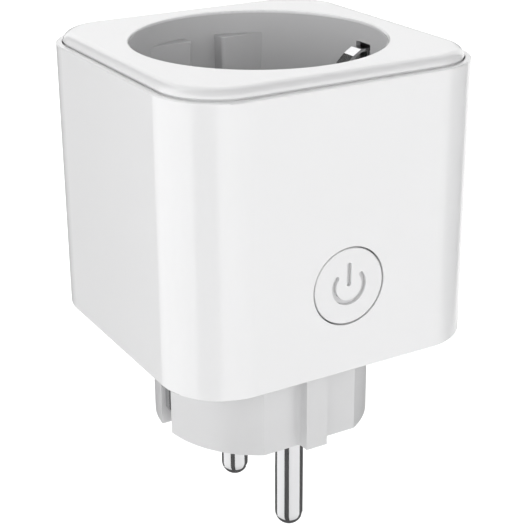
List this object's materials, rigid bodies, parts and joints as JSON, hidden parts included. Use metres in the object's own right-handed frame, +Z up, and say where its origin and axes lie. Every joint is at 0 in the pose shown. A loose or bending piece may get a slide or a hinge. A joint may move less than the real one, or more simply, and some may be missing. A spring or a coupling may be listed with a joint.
{
  "type": "smart plug",
  "caption": "Cube-shaped switched mains adaptor with an earthed round socket on top, a round-pin plug below and a push button.",
  "frame": {"origin": "centre of the plug's engagement face, midway between the two pins", "axes": "+Z up from the plug to the socket face, -Y towards the push button, pins in line along Y"},
  "size_m": [0.053, 0.053, 0.0833],
  "materials": {
    "white_shell": "satin",
    "white_fascia": "satin",
    "grey_socket": "satin",
    "white_base": "satin",
    "nickel_pin": "polished",
    "bright_strip": "satin",
    "brass_contact": "satin",
    "shutter_plastic": "satin",
    "tray_plastic": "satin",
    "spring_steel": "satin",
    "screw_steel": "satin",
    "button_white": "satin",
    "light_guide": "satin",
    "black_plastic": "satin",
    "plunger_plastic": "satin",
    "led_lens": "clear",
    "circuit_board": "satin",
    "gold_wire": "polished",
    "capacitor_sleeve": "satin",
    "chip_black": "matte",
    "copper_alloy": "satin",
    "ferrite_winding": "matte",
    "blue_disc": "satin",
    "green_resistor": "matte",
    "relay_black": "matte",
    "relay_blue": "satin",
    "bobbin_plastic": "matte",
    "copper_winding": "satin",
    "soft_iron": "satin",
    "radio_board": "satin",
    "tin_shield": "satin"
  },
  "bodies": {
    "housing": {"outer_sleeve": "white_shell", "top_fascia": "white_fascia", "socket_cup": "grey_socket", "plug_stem": "white_base", "base_plate": "white_base", "live_pin": "nickel_pin", "neutral_pin": "nickel_pin", "stem_earth_contact_right": "bright_strip", "stem_earth_contact_left": "bright_strip", "earth_clip_right": "bright_strip", "earth_clip_left": "bright_strip", "earth_bridge": "bright_strip", "earth_pin_tube": "bright_strip", "live_contact": "brass_contact", "neutral_contact": "brass_contact", "shutter_tray": "tray_plastic", "shutter_spring": "spring_steel", "housing_screws": "screw_steel", "tray_screws": "screw_steel", "switch_body": "black_plastic", "status_led": "led_lens", "button_board": "circuit_board", "header_pins": "gold_wire", "board_header": "black_plastic", "main_board": "circuit_board", "supply_capacitors": "capacitor_sleeve", "output_capacitor": "capacitor_sleeve", "bridge_rectifier": "chip_black", "power_chip": "chip_black", "meter_chip": "chip_black", "shunt_resistor": "copper_alloy", "filter_inductor": "ferrite_winding", "varistor": "blue_disc", "fuse_resistor": "green_resistor", "relay_base": "relay_black", "relay_case": "relay_blue", "relay_bobbin": "bobbin_plastic", "relay_coil": "copper_winding", "relay_core": "soft_iron", "relay_yoke": "soft_iron", "relay_fixed_contact": "brass_contact", "wifi_board": "radio_board", "wifi_shield": "tin_shield"},
    "button": {"button_cap": "button_white", "symbol_ring_guide": "light_guide", "symbol_bar_guide": "light_guide"},
    "plunger": {"switch_plunger": "plunger_plastic"},
    "shutter_slider": {"shutter": "shutter_plastic"},
    "armature": {"relay_armature": "soft_iron", "relay_contact_arm": "brass_contact"}
  },
  "joints": [
    {"name": "button_press", "type": "slide", "parent": "housing", "child": "button", "axis": [0, 1, 0], "range_m": [0, 0.0004], "stiffness_N_per_m": 3000},
    {"name": "plunger_press", "type": "slide", "parent": "housing", "child": "plunger", "axis": [0, 1, 0], "range_m": [0, 0.0004]},
    {"name": "shutter_slide", "type": "slide", "parent": "housing", "child": "shutter_slider", "axis": [1, 0, 0], "range_m": [0, 0.006], "stiffness_N_per_m": 200, "deforming": ["shutter_spring"]},
    {"name": "relay_pull_in", "type": "hinge", "parent": "housing", "child": "armature", "pos_m": [0.0139, 0.0031, 0.02739], "axis": [1, 0, 0], "range_deg": [0, 3.5], "stiffness_Nm_per_rad": 0.02}
  ],
  "couplings": [
    {"joint": "plunger_press", "follows": "button_press", "ratio": 1}
  ]
}
